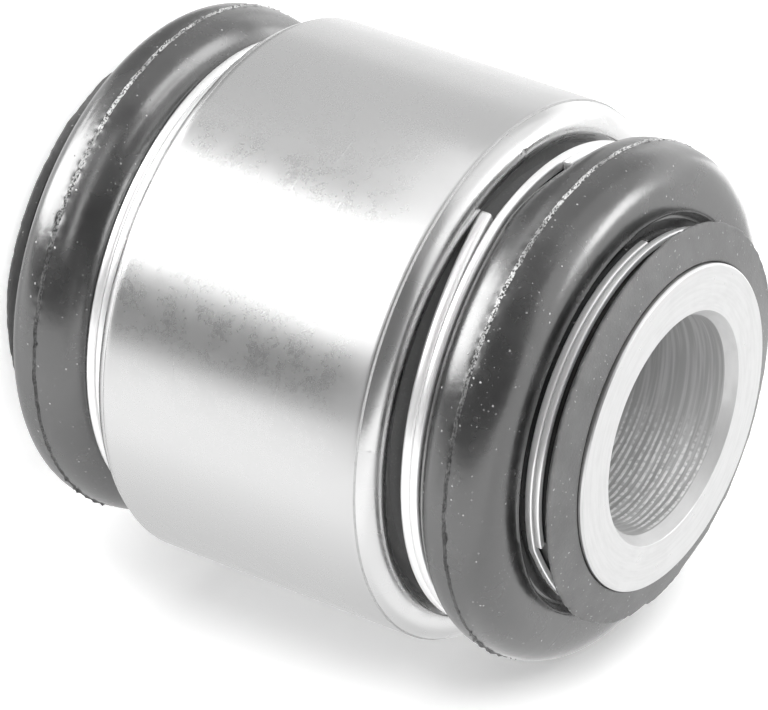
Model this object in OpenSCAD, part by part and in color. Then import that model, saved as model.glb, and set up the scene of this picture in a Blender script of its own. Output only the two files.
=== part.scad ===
// Shock absorber bushing: a ball sleeve in a pressed-in steel housing, with a
// rubber boot at each end. The bore runs along Z and the origin is the centre
// of the ball. Lengths are millimetres. The two ends are alike, apart from the
// closing ring, which the housing's rolled rim holds at the front (+Z).

/* [Housing] */
// Diameter of the ground land that is pressed into the eye
housing_d = 35; // [34:0.5:40]
// Length of the ground land
land_len = 18.7; // [17:0.1:22]
// Wall between the ground land and the race
housing_wall = 2.25; // [2:0.05:2.6]
// Axial height of the rounded rim beyond the land
rim_h = 1; // [0.9:0.05:1.2]
// Radius of the rounded rim
rim_round = 1.6; // [1.5:0.05:1.7]
// Step from the ground land down to the turned rim
rim_step = 0.1; // [0.05:0.01:0.15]
// Width of the flat on top of the rim
rim_flat = 0.3; // [0.1:0.05:0.4]
// Thickness of the rim where it is rolled over the closing ring
lip_t = 0.85; // [0.7:0.05:1]
// Gap between the rolled rim and the collar inside it
recess_w = 0.85; // [0.6:0.05:1]

/* [Boot collars] */
// Height of the collar that carries the boot, above the rim
collar_h = 2.5; // [2.3:0.1:2.8]
// Depth of the groove that holds the boot's bead
groove_depth = 0.5; // [0.4:0.05:0.6]
// Length of that groove
groove_len = 1.95; // [1.9:0.05:2.1]
// Wall of the collar under the groove
collar_wall = 1.4; // [1.2:0.05:1.6]
// Thickness of the closing ring's flange
closing_t = 1.2; // [1:0.05:1.5]

/* [Race] */
// Thickness of the race at the equator of the ball
race_wall = 1.7; // [1.5:0.05:1.9]
// Running clearance between ball and race, on the radius
ball_clearance = 0.05; // [0.02:0.01:0.09]
// Width of the slit that lets the race snap over the ball
slit_w = 0.8; // [0.5:0.1:1.2]
// Number of grease grooves along the race
grease_grooves = 6; // [4:1:8]
// Radius of a grease groove
grease_r = 0.6; // [0.4:0.05:0.8]

/* [Ball sleeve] */
// Diameter of the through bore
bore_d = 14.1; // [12:0.1:15]
// Width of the chamfer at each end of the bore
bore_chamfer_w = 0.5; // [0.2:0.05:0.8]
// Depth of that chamfer
bore_chamfer_depth = 0.7; // [0.3:0.05:1]
// Length of the sleeve over its end faces
sleeve_len = 42; // [41:0.5:46]
// Diameter of the end collars
sleeve_end_d = 21; // [20.5:0.1:22]
// Length of each end collar
end_collar_len = 1.05; // [0.9:0.05:1.3]
// Chamfer on the outer edge of each end face
end_chamfer = 0.45; // [0.2:0.05:0.5]
// Diameter of the seat under the boot's neck
seat_d = 19.4; // [19:0.1:19.8]
// Length of that seat
seat_len = 2.9; // [2.6:0.1:3.2]
// Diameter of the necks beside the ball
neck_d = 18.8; // [18:0.1:19]

/* [Boots] */
// Height that the bulge rises over the clamp ring's seat
boot_rise = 1.95; // [1.7:0.05:2.2]
// Wall of the bulge
boot_wall = 1.1; // [0.9:0.05:1.2]
// Thickness of the bead under the clamp ring
bead_t = 1.25; // [1.1:0.05:1.4]
// Wall of the neck under the neck ring
neck_wall = 1.95; // [1.7:0.05:2.1]
// Squareness of the bulge: 2 is an ellipse, more is squarer
bulge_power = 2.5; // [2:0.1:3]
// How far the bulge's front lies behind the end face of the sleeve
bulge_setback = 2.9; // [2.7:0.1:3.2]
// Height of the flash at the mould's parting line
flash_h = 0.12; // [0.05:0.01:0.2]
// Width of that flash at its foot
flash_w = 0.24; // [0.1:0.02:0.4]
// Diameter of the end flange
flange_d = 25.7; // [25:0.1:26.5]
// How far the flange lies behind the end face at the sleeve
flange_recess = 0.5; // [0.4:0.05:0.6]
// How far the flange's front falls towards its rim
flange_fall = 0.4; // [0.2:0.05:0.5]
// Thickness of the flange at its rim
flange_rim_t = 0.2; // [0.1:0.05:0.3]
// How far the flange's back runs in from the rim to the neck
flange_root = 0.7; // [0.5:0.05:0.8]

/* [Clamp rings] */
// Axial width of the flat wire
clamp_w = 0.68; // [0.6:0.02:0.74]
// Radial thickness of the flat wire
clamp_t = 0.8; // [0.6:0.05:0.9]
// Angle that the wire covers, two turns less the gap between its ends
clamp_sweep = 696; // [660:1:710]
// Where the inner end lies, from +X towards +Y
clamp_end_at = 237; // [0:1:359]
// Gap from the rim of the housing to the first turn
clamp_gap = 0.4; // [0.3:0.05:0.5]

/* [Neck rings] */
// Axial width of the wire
neckring_w = 0.5; // [0.4:0.02:0.56]
// Radial thickness of the wire
neckring_t = 0.42; // [0.3:0.02:0.5]
// Angle that the wire covers, more than one turn
neckring_sweep = 468; // [400:1:560]
// Where the inner end lies, from +X towards +Y
neckring_end_at = 214; // [0:1:359]
// Gap from the flange's root to the ring
neckring_gap = 0.25; // [0.2:0.05:0.35]
// Width of the groove around the ring
neckring_room = 0.9; // [0.7:0.05:1.1]

/* [Hidden] */
$fn = 96;

// Clearances: pieces that are pressed or stretched on, and coil turns
fit_gap = 0.05;
turn_gap = 0.02;
// Room round the necks, so that the sleeve tilts clear of the race
swing_room = 1.3;
// The turns step over from one lane to the next within this angle
step_over = 24;
// Where the rear rings' ends lie, turned away from the front ones
rear_turn = 150;
// Angle of one step along a coil, and of one step round a bulge
coil_step = 6;
bulge_step = 6;
// Small break on the edges of the collars
edge = 0.25;
// How much farther the bulge's back half would reach than its front half
back_reach = 1.135;

// Levels along the axis, from the ball's centre to the front
z_land = land_len / 2;
z_rim = z_land + rim_h;
z_floor = z_rim - lip_t;
z_race = z_floor - closing_t;
z_collar = z_rim + collar_h;
z_end = sleeve_len / 2;
z_seat_out = z_end - end_collar_len;
z_seat_in = z_seat_out - seat_len;
z_clamp = z_rim + clamp_gap;
z_clamp_out = z_clamp + 2 * clamp_w + turn_gap;
z_shoulder = z_clamp_out + fit_gap;
z_bulge = z_end - bulge_setback;
z_mould = (z_shoulder + z_bulge) / 2;
z_flange = z_end - flange_recess;
z_flange_rim = z_flange - flange_fall;
z_flange_root = z_flange_rim - flange_rim_t - flange_root;
z_neckring_out = z_flange_root - neckring_gap;
z_neckring = z_neckring_out - 2 * neckring_w - turn_gap;

// Radii, from the ground land inwards
r_land = housing_d / 2;
r_race = r_land - housing_wall;
r_socket = r_race - race_wall;
r_ball = r_socket - ball_clearance;
r_rim_flat = r_land - rim_round;
r_lip_top = r_rim_flat - rim_flat;
r_lip = r_lip_top - lip_t;
r_collar = r_lip - recess_w;
r_groove = r_collar - groove_depth;
r_opening = r_groove - collar_wall;
r_bead = r_groove + bead_t;
r_clamp = r_bead + fit_gap;
r_boot = r_bead + boot_rise;

// Radii, from the bore outwards
r_bore = bore_d / 2;
r_neck = neck_d / 2;
r_seat = seat_d / 2;
r_end = sleeve_end_d / 2;
r_flange = flange_d / 2;
r_boot_neck = r_seat + neck_wall;
r_neckring = r_boot_neck + fit_gap;
r_neckring_out = r_neckring + neckring_t;
r_bulge_in = r_neckring_out + neckring_room;

// Points of an arc in the (radius, height) plane
function arc(c, r, from, to, steps) =
    [for (i = [0 : steps])
        let (a = from + (to - from) * i / steps)
        [c[0] + r * cos(a), c[1] + r * sin(a)]];

// One point of a superellipse with half axes a and b
function bulge_point(a, b, t) =
    [r_bulge_in + a * pow(cos(t), 2 / bulge_power),
     z_mould + b * sign(t) * pow(abs(sin(t)), 2 / bulge_power)];

// Where a superellipse with half axes a and b passes a height or a radius
function angle_at_height(b, z) =
    sign(z - z_mould) * asin(pow(min(1, abs(z - z_mould) / b), bulge_power / 2));
function angle_at_radius(a, r) =
    acos(pow(min(1, max(0, (r - r_bulge_in) / a)), bulge_power / 2));

// Side of the bulge between two angles, leaving out both ends
function bulge_side(a, b, from, to) =
    let (steps = ceil(abs(to - from) / bulge_step))
    [for (i = [1 : steps - 1])
        bulge_point(a, b, from + (to - from) * i / steps)];

// Outline of a collar that holds a boot's bead, from its foot to its end
function collar_outline() =
    [[r_collar, z_floor],
     [r_collar, z_rim],
     [r_groove, z_rim],
     [r_groove, z_rim + groove_len],
     [r_collar, z_rim + groove_len],
     [r_collar, z_collar - edge],
     [r_collar - edge, z_collar],
     [r_opening + edge, z_collar],
     [r_opening, z_collar - edge]];

// Outline of the rounded rim, from the ground land to the recess inside it
function rim_outline() =
    let (start = acos((rim_round - rim_step) / rim_round),
         foot = z_rim - rim_round)
    concat([[r_land, foot + rim_round * sin(start)]],
           arc([r_rim_flat, foot], rim_round, start, 90, 8),
           [[r_lip_top, z_rim], [r_lip, z_floor]]);

function flip(points) = [for (i = [len(points) - 1 : -1 : 0]) [points[i][0], -points[i][1]]];

// The housing is turned from bar with its rear collar, bored from the front
module housing() {
    color("silver")
    rotate_extrude()
    polygon(concat(
        rim_outline(),
        [[r_race, z_floor], [r_race, -z_race], [r_opening, -z_race]],
        flip(concat(rim_outline(), collar_outline()))));
}

// The race is one plastic ring with a spherical seat for the ball
module bearing_race() {
    color("ivory")
    difference() {
        cylinder(r = r_race - fit_gap, h = 2 * (z_race - fit_gap), center = true);
        sphere(r = r_socket);
        cylinder(r = r_neck + swing_room, h = 2 * z_race, center = true);
        for (i = [1 : grease_grooves - 1])
            rotate([0, 0, 360 * i / grease_grooves])
            translate([r_ball, 0, -z_race])
            cylinder(r = grease_r, h = 2 * z_race);
        translate([0, -slit_w / 2, -z_race])
        cube([r_race, slit_w, 2 * z_race]);
    }
}

// The closing ring backs the race and carries the front boot's bead
module closing_ring() {
    color("gray")
    rotate_extrude()
    polygon(concat(
        [[r_opening, z_race],
         [r_race - fit_gap, z_race],
         [r_race - fit_gap, z_floor - fit_gap],
         [r_collar, z_floor - fit_gap]],
        collar_outline()));
}

// The ball and both necks are turned from one piece and bored through
module ball_sleeve() {
    color("gainsboro")
    difference() {
        union() {
            sphere(r = r_ball);
            for (side = [0, 1])
                mirror([0, 0, side])
                rotate_extrude()
                polygon([[0, 0],
                         [r_neck, 0],
                         [r_neck, z_seat_in - (r_seat - r_neck)],
                         [r_seat, z_seat_in],
                         [r_seat, z_seat_out],
                         [r_end, z_seat_out],
                         [r_end, z_end - end_chamfer],
                         [r_end - end_chamfer, z_end],
                         [0, z_end]]);
        }
        cylinder(r = r_bore, h = sleeve_len + 2, center = true);
        for (side = [0, 1])
            mirror([0, 0, side])
            translate([0, 0, z_end - bore_chamfer_depth])
            cylinder(r1 = r_bore, r2 = r_bore + bore_chamfer_w, h = bore_chamfer_depth);
    }
}

// Outside of a boot, from the bead over the bulge to the neck
function boot_outside() =
    let (a = r_boot - r_bulge_in,
         front = z_bulge - z_mould,
         back = back_reach * (z_mould - z_shoulder),
         foot = angle_at_height(back, z_shoulder),
         ridge = flash_w / 2)
    concat(
        [[r_groove + fit_gap, z_rim + fit_gap],
         [r_bead, z_rim + fit_gap],
         [r_bead, z_shoulder],
         bulge_point(a, back, foot)],
        bulge_side(a, back, foot, -bulge_step),
        [[r_boot, z_mould - ridge],
         [r_boot + flash_h, z_mould],
         [r_boot, z_mould + ridge]],
        bulge_side(a, front, bulge_step, 90),
        arc([r_bulge_in, z_bulge - edge], edge, 90, 180, 4),
        [[r_bulge_in - edge, z_neckring - fit_gap],
         [r_boot_neck, z_neckring - fit_gap],
         [r_boot_neck, z_flange_root]]);

// Flange at the end of a boot, from its root over the rim to the sleeve
function boot_flange() =
    [[r_flange, z_flange_rim - flange_rim_t],
     [r_flange, z_flange_rim],
     [r_end + fit_gap, z_flange],
     [r_end + fit_gap, z_seat_out - fit_gap],
     [r_seat + fit_gap, z_seat_out - fit_gap]];

// Inside of a boot, from the neck round the hollow bulge to the bead
function boot_inside() =
    let (a = r_boot - r_bulge_in - boot_wall,
         front = z_bulge - z_mould - boot_wall,
         back = back_reach * (z_mould - z_shoulder) - boot_wall,
         mouth = angle_at_radius(a, r_collar + fit_gap))
    concat(
        [[r_seat + fit_gap, z_mould + front],
         [r_bulge_in, z_mould + front]],
        bulge_side(a, front, 90, 0),
        [[r_boot - boot_wall, z_mould]],
        bulge_side(a, back, 0, -mouth),
        [bulge_point(a, back, -mouth),
         [r_collar + fit_gap, z_rim + groove_len - fit_gap],
         [r_groove + fit_gap, z_rim + groove_len - fit_gap]]);

module boot() {
    color("dimgray")
    rotate_extrude()
    polygon(concat(boot_outside(), boot_flange(), boot_inside()));
}

// Section of the wire at its inner lower corner, with its edges broken
function wire_section(w, t) =
    let (b = 0.22 * min(w, t))
    [[b, 0], [t - b, 0], [t, b], [t, w - b], [t - b, w], [b, w], [0, w - b], [0, b]];

function smooth(x) = let (s = min(1, max(0, x))) s * s * (3 - 2 * s);

// A spring of flat wire: it lies in one lane, steps over and goes on in the next
module coil(r, w, t, sweep, step_at) {
    section = wire_section(w, t);
    sides = len(section);
    steps = ceil(sweep / coil_step);
    points = [for (i = [0 : steps], p = section)
        let (a = sweep * i / steps,
             lane = (w + turn_gap) * smooth((a - step_at) / step_over))
        [(r + p[0]) * cos(a), (r + p[0]) * sin(a), p[1] + lane]];
    ends = [[for (j = [0 : sides - 1]) j],
            [for (j = [sides - 1 : -1 : 0]) steps * sides + j]];
    skin = [for (i = [0 : steps - 1], j = [0 : sides - 1])
        let (k = (j + 1) % sides)
        [i * sides + j, (i + 1) * sides + j, (i + 1) * sides + k, i * sides + k]];
    polyhedron(points = points, faces = concat(ends, skin), convexity = 10);
}

// Outer ring: the turns change lanes in the gap between the wire's ends
module clamp_ring() {
    color("whitesmoke")
    translate([0, 0, z_clamp])
    rotate([0, 0, clamp_end_at])
    coil(r_clamp, clamp_w, clamp_t, clamp_sweep, 360 - step_over);
}

// Neck ring: the turns change lanes past the outer end of the wire
module neck_ring() {
    color("whitesmoke")
    translate([0, 0, z_neckring])
    rotate([0, 0, neckring_end_at])
    coil(r_neckring, neckring_w, neckring_t, neckring_sweep, neckring_sweep - 358);
}

module at_rear() {
    rotate([0, 0, rear_turn])
    mirror([0, 0, 1])
    children();
}

module boot_front() { boot(); }
module boot_rear() { at_rear() boot(); }
module clamp_ring_front() { clamp_ring(); }
module clamp_ring_rear() { at_rear() clamp_ring(); }
module neck_ring_front() { neck_ring(); }
module neck_ring_rear() { at_rear() neck_ring(); }

housing();
bearing_race();
closing_ring();
ball_sleeve();
boot_front();
boot_rear();
clamp_ring_front();
clamp_ring_rear();
neck_ring_front();
neck_ring_rear();
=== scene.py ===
"""Looks of a ball-jointed bushing: steel housing, bored ball sleeve, rubber boots and wire rings.

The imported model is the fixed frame. Sizes are millimetres, and turn to metres as a mesh is made.
The bore runs along Z, and +Z is the front end.
"""

import logging
import math
from collections.abc import Callable, Sequence
from dataclasses import dataclass, field
from enum import Enum
from typing import Any

import bpy
import numpy as np
from mathutils import Matrix, Vector


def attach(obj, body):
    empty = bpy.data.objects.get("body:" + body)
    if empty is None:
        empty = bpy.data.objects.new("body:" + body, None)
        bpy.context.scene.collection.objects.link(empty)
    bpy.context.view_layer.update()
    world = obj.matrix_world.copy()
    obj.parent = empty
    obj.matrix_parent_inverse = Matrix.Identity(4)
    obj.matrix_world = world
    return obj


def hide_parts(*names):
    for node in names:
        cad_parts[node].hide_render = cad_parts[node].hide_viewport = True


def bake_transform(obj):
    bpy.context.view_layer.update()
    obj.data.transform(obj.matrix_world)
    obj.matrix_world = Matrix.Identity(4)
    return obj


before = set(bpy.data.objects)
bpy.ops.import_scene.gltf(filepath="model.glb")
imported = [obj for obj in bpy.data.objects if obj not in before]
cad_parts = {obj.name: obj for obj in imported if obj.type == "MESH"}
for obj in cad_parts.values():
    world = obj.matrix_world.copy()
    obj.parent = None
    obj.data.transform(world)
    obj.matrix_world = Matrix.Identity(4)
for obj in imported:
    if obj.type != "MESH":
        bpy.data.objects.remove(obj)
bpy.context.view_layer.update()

log = logging.getLogger("bushing")

MM = 0.001
IMAGE_WIDTH_PX = 768
WHITE = (1.0, 1.0, 1.0, 1.0)
PAPER_WHITE = (0.86, 0.86, 0.86, 1.0)

Point = tuple[float, float]
Outline = list[Point]
Shaper = Callable[[np.ndarray, np.ndarray, np.ndarray], tuple[np.ndarray, np.ndarray]]
Object, Material = bpy.types.Object, bpy.types.Material
Node, Socket = bpy.types.Node, bpy.types.NodeSocket
Source = Node | Socket | float


class Body(Enum):
    """Bodies of the frame that the pieces ride on."""

    HOUSING = "housing"
    NECKS = "boot_necks"
    SLEEVE = "sleeve"


class Slot(Enum):
    """Material slots of the record."""

    GROUND_STEEL = "ground_steel"
    TURNED_STEEL = "turned_steel"
    SPRING_WIRE = "spring_wire"
    BOOT_RUBBER = "boot_rubber"
    RACE_PLASTIC = "race_plastic"


class End(Enum):
    """The two ends of the bushing, as the sign of Z."""

    FRONT = 1
    REAR = -1

    @property
    def word(self) -> str:
        """Name of this end in the names of its pieces."""
        return self.name.lower()


def linear(hex_colour: str) -> tuple[float, float, float, float]:
    """Turn an sRGB hex colour into linear light.

    Args:
        hex_colour: Colour such as "#8a8a8a".

    Returns:
        Linear red, green and blue, and an alpha of 1.
    """
    shares = [int(hex_colour[i : i + 2], 16) / 255 for i in (1, 3, 5)]
    light = [s / 12.92 if s <= 0.04045 else ((s + 0.055) / 1.055) ** 2.4 for s in shares]
    return (light[0], light[1], light[2], 1.0)


def smooth_step(x: np.ndarray) -> np.ndarray:
    """Ease from 0 to 1 as x goes from 0 to 1."""
    share = np.clip(x, 0, 1)
    return share * share * (3 - 2 * share)


def angle_from(azimuth: np.ndarray, centre: float) -> np.ndarray:
    """Degrees from a centre azimuth, from -180 to 180."""
    return (azimuth - centre + 180) % 360 - 180


# Outlines in the (radius, height) plane


def beside(base: Point, *offsets: Point) -> Outline:
    """Points at offsets from a base point."""
    return [(base[0] + out, base[1] + up) for out, up in offsets]


def arc(centre: Point, radius: float, start: float, end: float, steps: int) -> Outline:
    """Points along a round stretch of an outline.

    Args:
        centre: Centre of the arc.
        radius: Its radius.
        start: First angle in degrees, from the radius axis towards +Z.
        end: Last angle in degrees.
        steps: Number of stretches between the points.

    Returns:
        The points, both ends among them.
    """
    angles = np.radians(np.linspace(start, end, steps + 1))
    return [(centre[0] + radius * math.cos(a), centre[1] + radius * math.sin(a)) for a in angles]


def rounded(corners: Sequence[tuple[float, float, float]], steps: int = 5) -> Outline:
    """Round the corners of a closed outline, with a guard point beside each round.

    Args:
        corners: Radius, height and rounding of each corner.
        steps: Stretches in each rounding.

    Returns:
        The points of the rounded outline.
    """
    guard, most = 1.35, 0.7
    points: Outline = []
    for i, (r, z, rounding) in enumerate(corners):
        here = np.array([r, z])
        if rounding <= 0:
            points.append((r, z))
            continue
        before = np.array(corners[i - 1][:2]) - here
        after = np.array(corners[(i + 1) % len(corners)][:2]) - here
        long_before, long_after = np.linalg.norm(before), np.linalg.norm(after)
        before, after = before / long_before, after / long_after
        half = math.acos(max(-1.0, min(1.0, float(before @ after)))) / 2
        reach = min(rounding / math.tan(half), most * long_before, most * long_after)
        to_middle = (before + after) / np.linalg.norm(before + after) * reach / math.cos(half)
        first, last = before * reach - to_middle, after * reach - to_middle
        turn = math.pi - 2 * half
        points.append(tuple(here + before * reach * guard))
        for share in np.linspace(0, 1, steps + 1):
            spoke = first * math.sin((1 - share) * turn) + last * math.sin(share * turn)
            points.append(tuple(here + to_middle + spoke / math.sin(turn)))
        points.append(tuple(here + after * reach * guard))
    return points


def refined(outline: Outline, longest: float) -> Outline:
    """Split the long stretches of a closed outline.

    Args:
        outline: Its points.
        longest: Longest stretch that may stay.

    Returns:
        The outline with more points on the same line.
    """
    points: Outline = []
    for (r0, z0), (r1, z1) in zip(outline, outline[1:] + outline[:1]):
        parts = max(1, math.ceil(math.hypot(r1 - r0, z1 - z0) / longest))
        points += [(r0 + (r1 - r0) * k / parts, z0 + (z1 - z0) * k / parts) for k in range(parts)]
    return points


# Meshes


def make_mesh(name: str, points: np.ndarray, faces: list[tuple[int, ...]], crease: float = 40) -> Object:
    """Make a smooth shaded mesh object from points in millimetres.

    Args:
        name: Name of the piece.
        points: Its vertices, one row each.
        faces: Its faces as indices of vertices.
        crease: Edges that turn more than this many degrees stay sharp.

    Returns:
        The new object, linked to the scene.
    """
    mesh = bpy.data.meshes.new(name)
    mesh.from_pydata((points * MM).tolist(), [], faces)
    mesh.validate()
    mesh.shade_smooth()
    mesh.set_sharp_from_angle(angle=math.radians(crease))
    piece = bpy.data.objects.new(name, mesh)
    bpy.context.scene.collection.objects.link(piece)
    return piece


def lathe(
    name: str, outline: Outline, segments: int, shaper: Shaper | None = None, mirror: bool = False
) -> Object:
    """Turn a closed outline round the Z axis.

    Args:
        name: Name of the piece.
        outline: Points that run round the section anticlockwise.
        segments: Steps round the axis.
        shaper: Moves each point, given its azimuth in degrees, radius and height.
        mirror: Whether the piece is turned over to the rear end.

    Returns:
        The turned piece.
    """
    count = len(outline)
    azimuth = np.linspace(0, 360, segments, endpoint=False)[:, None] * np.ones(count)
    radius, height = (np.array(values) * np.ones((segments, 1)) for values in zip(*outline))
    if shaper is not None:
        radius, height = shaper(azimuth, radius, height)
    turn = np.radians(azimuth)
    side = -1 if mirror else 1
    points = np.stack([radius * np.cos(turn), radius * np.sin(turn), side * height], -1).reshape(-1, 3)
    faces = []
    for j in range(segments):
        here, there = j * count, (j + 1) % segments * count
        for i in range(count):
            k = (i + 1) % count
            quad = (here + i, there + i, there + k, here + k)
            faces.append(quad[::-1] if mirror else quad)
    return make_mesh(name, points, faces)


def ripple(azimuth: np.ndarray, seed: int, knots: int, sharpness: float = 1.0) -> np.ndarray:
    """Uneven edge round the axis: a smooth run of random heights, the same on every run.

    Args:
        azimuth: Azimuths in degrees.
        seed: Start of the random draw.
        knots: Number of heights round the axis.
        sharpness: Power on each height, where more leaves fewer high ones.

    Returns:
        Heights from 0 to 1.
    """
    heights = np.random.default_rng(seed).random(knots) ** sharpness
    place = azimuth % 360 / 360 * knots
    low = np.floor(place).astype(int) % knots
    share = smooth_step(place - np.floor(place))
    return heights[low] * (1 - share) + heights[(low + 1) % knots] * share


# Materials


class Nodes:
    """Node tree of a material or of the world, emptied and then filled."""

    def __init__(self, owner: Material | bpy.types.World) -> None:
        """Empty the tree.

        Args:
            owner: Material or world that holds it.
        """
        owner.use_nodes = True
        self.tree = owner.node_tree
        self.tree.nodes.clear()

    def add(self, kind: str, inputs: dict[int | str, Any] | None = None, **settings: Any) -> Node:
        """Add a node with its settings and links.

        Args:
            kind: Type of the node, without the ShaderNode before it.
            inputs: Values, sockets or nodes for its inputs, where a node gives its first output.
            settings: Properties of the node.

        Returns:
            The new node.
        """
        node = self.tree.nodes.new(f"ShaderNode{kind}")
        for key, value in settings.items():
            setattr(node, key, value)
        for key, value in (inputs or {}).items():
            source = value.outputs[0] if isinstance(value, Node) else value
            if isinstance(source, Socket):
                self.tree.links.new(source, node.inputs[key])
            else:
                node.inputs[key].default_value = source
        return node

    def chain(self, operation: str, first: Source, *others: Source) -> Source:
        """Join values by one operation, two at a time.

        Args:
            operation: What to do with two values.
            first: First value.
            others: The other values.

        Returns:
            The last result.
        """
        for other in others:
            first = self.add("Math", {0: first, 1: other}, operation=operation)
        return first

    def rings(self, place: Node, pitch: float, streaks: float) -> Node:
        """Add noise in streaks that run round the axis, as a tool leaves them.

        Args:
            place: Position in millimetres.
            pitch: Distance from one streak to the next, in millimetres.
            streaks: How often a streak starts anew round the axis.

        Returns:
            The noise.
        """
        x, y, z = self.add("SeparateXYZ", {0: place}).outputs
        flat = self.add("CombineXYZ", {0: x, 1: y})
        radius = self.add("VectorMath", {0: flat}, operation="LENGTH").outputs["Value"]
        spoke = self.add("VectorMath", {0: flat}, operation="NORMALIZE")
        slow = self.add("VectorMath", {0: spoke, "Scale": streaks}, operation="SCALE")
        run = self.add("Math", {0: z, 1: radius}, operation="ADD")
        lift = self.add("CombineXYZ", {"Z": self.chain("MULTIPLY", run, 1 / pitch)})
        both = self.add("VectorMath", {0: slow, 1: lift}, operation="ADD")
        return self.add("TexNoise", {"Vector": both, "Scale": 1.0, "Detail": 2.0})


def lumps(place: Node, size: float, detail: float = 2.0) -> dict[str, Any]:
    """Inputs of a noise whose lumps have a real size in millimetres, from about 0.3 to 0.7."""
    return {"Vector": place, "Scale": 1 / size, "Detail": detail, "Roughness": 0.55}


def span(
    value: Source, low: float, high: float, to_low: float = 0.0, to_high: float = 1.0
) -> dict[str, Any]:
    """Inputs of a map from one range to another, clamped."""
    return {"Value": value, "From Min": low, "From Max": high, "To Min": to_low, "To Max": to_high}


def make_material(name: str, shade: Callable[[Nodes], Node]) -> Material:
    """Make a material.

    Args:
        name: Name of the material.
        shade: Adds its nodes, and returns its shader.

    Returns:
        The new material.
    """
    material = bpy.data.materials.new(name)
    nodes = Nodes(material)
    nodes.add("OutputMaterial", {"Surface": shade(nodes)})
    return material


@dataclass
class Look:
    """What a pattern does to a plain finish.

    Attributes:
        bumps: Heights from 0 to 1, and how many millimetres 1 is.
        layers: Where each further colour lies, and its sRGB hex value, from the lowest up.
        rough: Roughness, where it changes over the surface.
    """

    bumps: list[tuple[Source, float]]
    layers: list[tuple[Source, str]] = field(default_factory=list)
    rough: Source | None = None


@dataclass(frozen=True)
class Finish:
    """A real material and how its surface was made."""

    name: str
    colour: str  # sRGB hex value
    metallic: float = 0.0
    roughness: float = 0.5  # its mean
    specular: float = 0.5
    refraction: float = 1.5  # used where the material is no metal

    def material(self) -> Material:
        """The material with this finish, made at its first use."""
        return bpy.data.materials.get(self.name) or make_material(self.name, self.shader)

    def shader(self, nodes: Nodes) -> Node:
        """Lay the pattern's colours, roughness and bumps on the plain material.

        Args:
            nodes: Nodes of the material.

        Returns:
            The shader.
        """
        where = nodes.add("TexCoord").outputs["Object"]
        look = self.pattern(nodes, nodes.add("VectorMath", {0: where, "Scale": 1 / MM}, operation="SCALE"))
        inputs = {"Base Color": linear(self.colour), "Metallic": self.metallic, "Roughness": self.roughness}
        inputs |= {"Specular IOR Level": self.specular, "IOR": self.refraction}
        for mask, tint in look.layers:
            colours = {"Factor": mask, 6: inputs["Base Color"], 7: linear(tint)}
            inputs["Base Color"] = nodes.add("Mix", colours, data_type="RGBA").outputs[2]
        for height, depth in look.bumps:
            under = {"Normal": inputs["Normal"]} if "Normal" in inputs else {}
            inputs["Normal"] = nodes.add("Bump", {"Height": height, "Distance": depth * MM, **under})
        if look.rough is not None:
            inputs["Roughness"] = look.rough
        return nodes.add("BsdfPrincipled", inputs)

    def pattern(self, nodes: Nodes, place: Node) -> Look:
        """Add the surface's pattern.

        Args:
            nodes: Nodes of the material.
            place: Position on the piece, in millimetres.

        Returns:
            What it does to the plain finish.
        """
        raise NotImplementedError


@dataclass(frozen=True)
class GroundSteel(Finish):
    """Bearing steel, centreless ground and then tumbled.

    The tumbling leaves a satin skin whose reflections break up in fine mottles, with a few hair scratches.
    """

    mottle: float = 0.3  # size of a mottle in millimetres
    patch: float = 1.6  # size of a duller patch
    lay: tuple[float, float, float] = (0.25, 0.25, 6.0)  # draws the scratches out round the axis
    worn_from: float = 6.5  # height above which the front end was rubbed dull
    worn_to: float = 9.3  # height at which it is dullest
    worn: float = 0.05  # roughness that the rubbing adds

    def pattern(self, nodes: Nodes, place: Node) -> Look:
        """Add mottles, dull patches, hair scratches and the rubbed end.

        Args:
            nodes: Nodes of the material.
            place: Position on the piece, in millimetres.

        Returns:
            What it does to the plain finish.
        """
        fine = nodes.add("TexNoise", lumps(place, self.mottle, 3.0))
        patch = nodes.add("TexNoise", lumps(place, self.patch))
        drawn_out = nodes.add("VectorMath", {0: place, 1: self.lay}, operation="MULTIPLY")
        scratch = nodes.add("MapRange", span(nodes.add("TexNoise", lumps(drawn_out, 1.0, 1.0)), 0.7, 0.76))
        both = nodes.chain("ADD", fine, patch)
        rough = nodes.add("MapRange", span(both, 0.6, 1.4, self.roughness - 0.04, self.roughness + 0.04))
        height = nodes.add("SeparateXYZ", {0: place}).outputs["Z"]
        dull = nodes.add("MapRange", span(height, self.worn_from, self.worn_to, 0.0, self.worn))
        return Look([(fine, 0.001), (scratch, 0.003)], rough=nodes.chain("ADD", rough, dull))


@dataclass(frozen=True)
class TurnedSteel(Finish):
    """Steel cut on a lathe: fine rings round the axis that draw the light out in streaks."""

    feed: float = 0.11  # from one tool mark to the next, coarser than real so that it shows
    depth: float = 0.004  # of the marks
    streaks: float = 3.0  # how often a mark starts anew round the axis
    floor: str = ""  # darker colour painted into the marks' floors as their shade, where given

    def pattern(self, nodes: Nodes, place: Node) -> Look:
        """Add tool marks, a slight change of gloss from mark to mark and, where a floor colour is given,
        painted shade in the marks' floors.

        Args:
            nodes: Nodes of the material.
            place: Position on the piece, in millimetres.

        Returns:
            What it does to the plain finish.
        """
        marks = nodes.rings(place, self.feed, self.streaks)
        wide = nodes.rings(place, self.feed * 6, self.streaks * 2)
        specks = nodes.add("TexNoise", lumps(place, 0.2))
        rough = nodes.add("MapRange", span(wide, 0.3, 0.7, self.roughness * 0.8, self.roughness * 1.25))
        look = Look([(marks, self.depth), (wide, self.depth), (specks, 0.003)], rough=rough)
        if self.floor:
            # painted shade: the floors of the tool marks take the darker floor colour
            look.layers.append((nodes.add("MapRange", span(marks, 0.38, 0.6, 1.0, 0.0)), self.floor))
        return look


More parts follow.
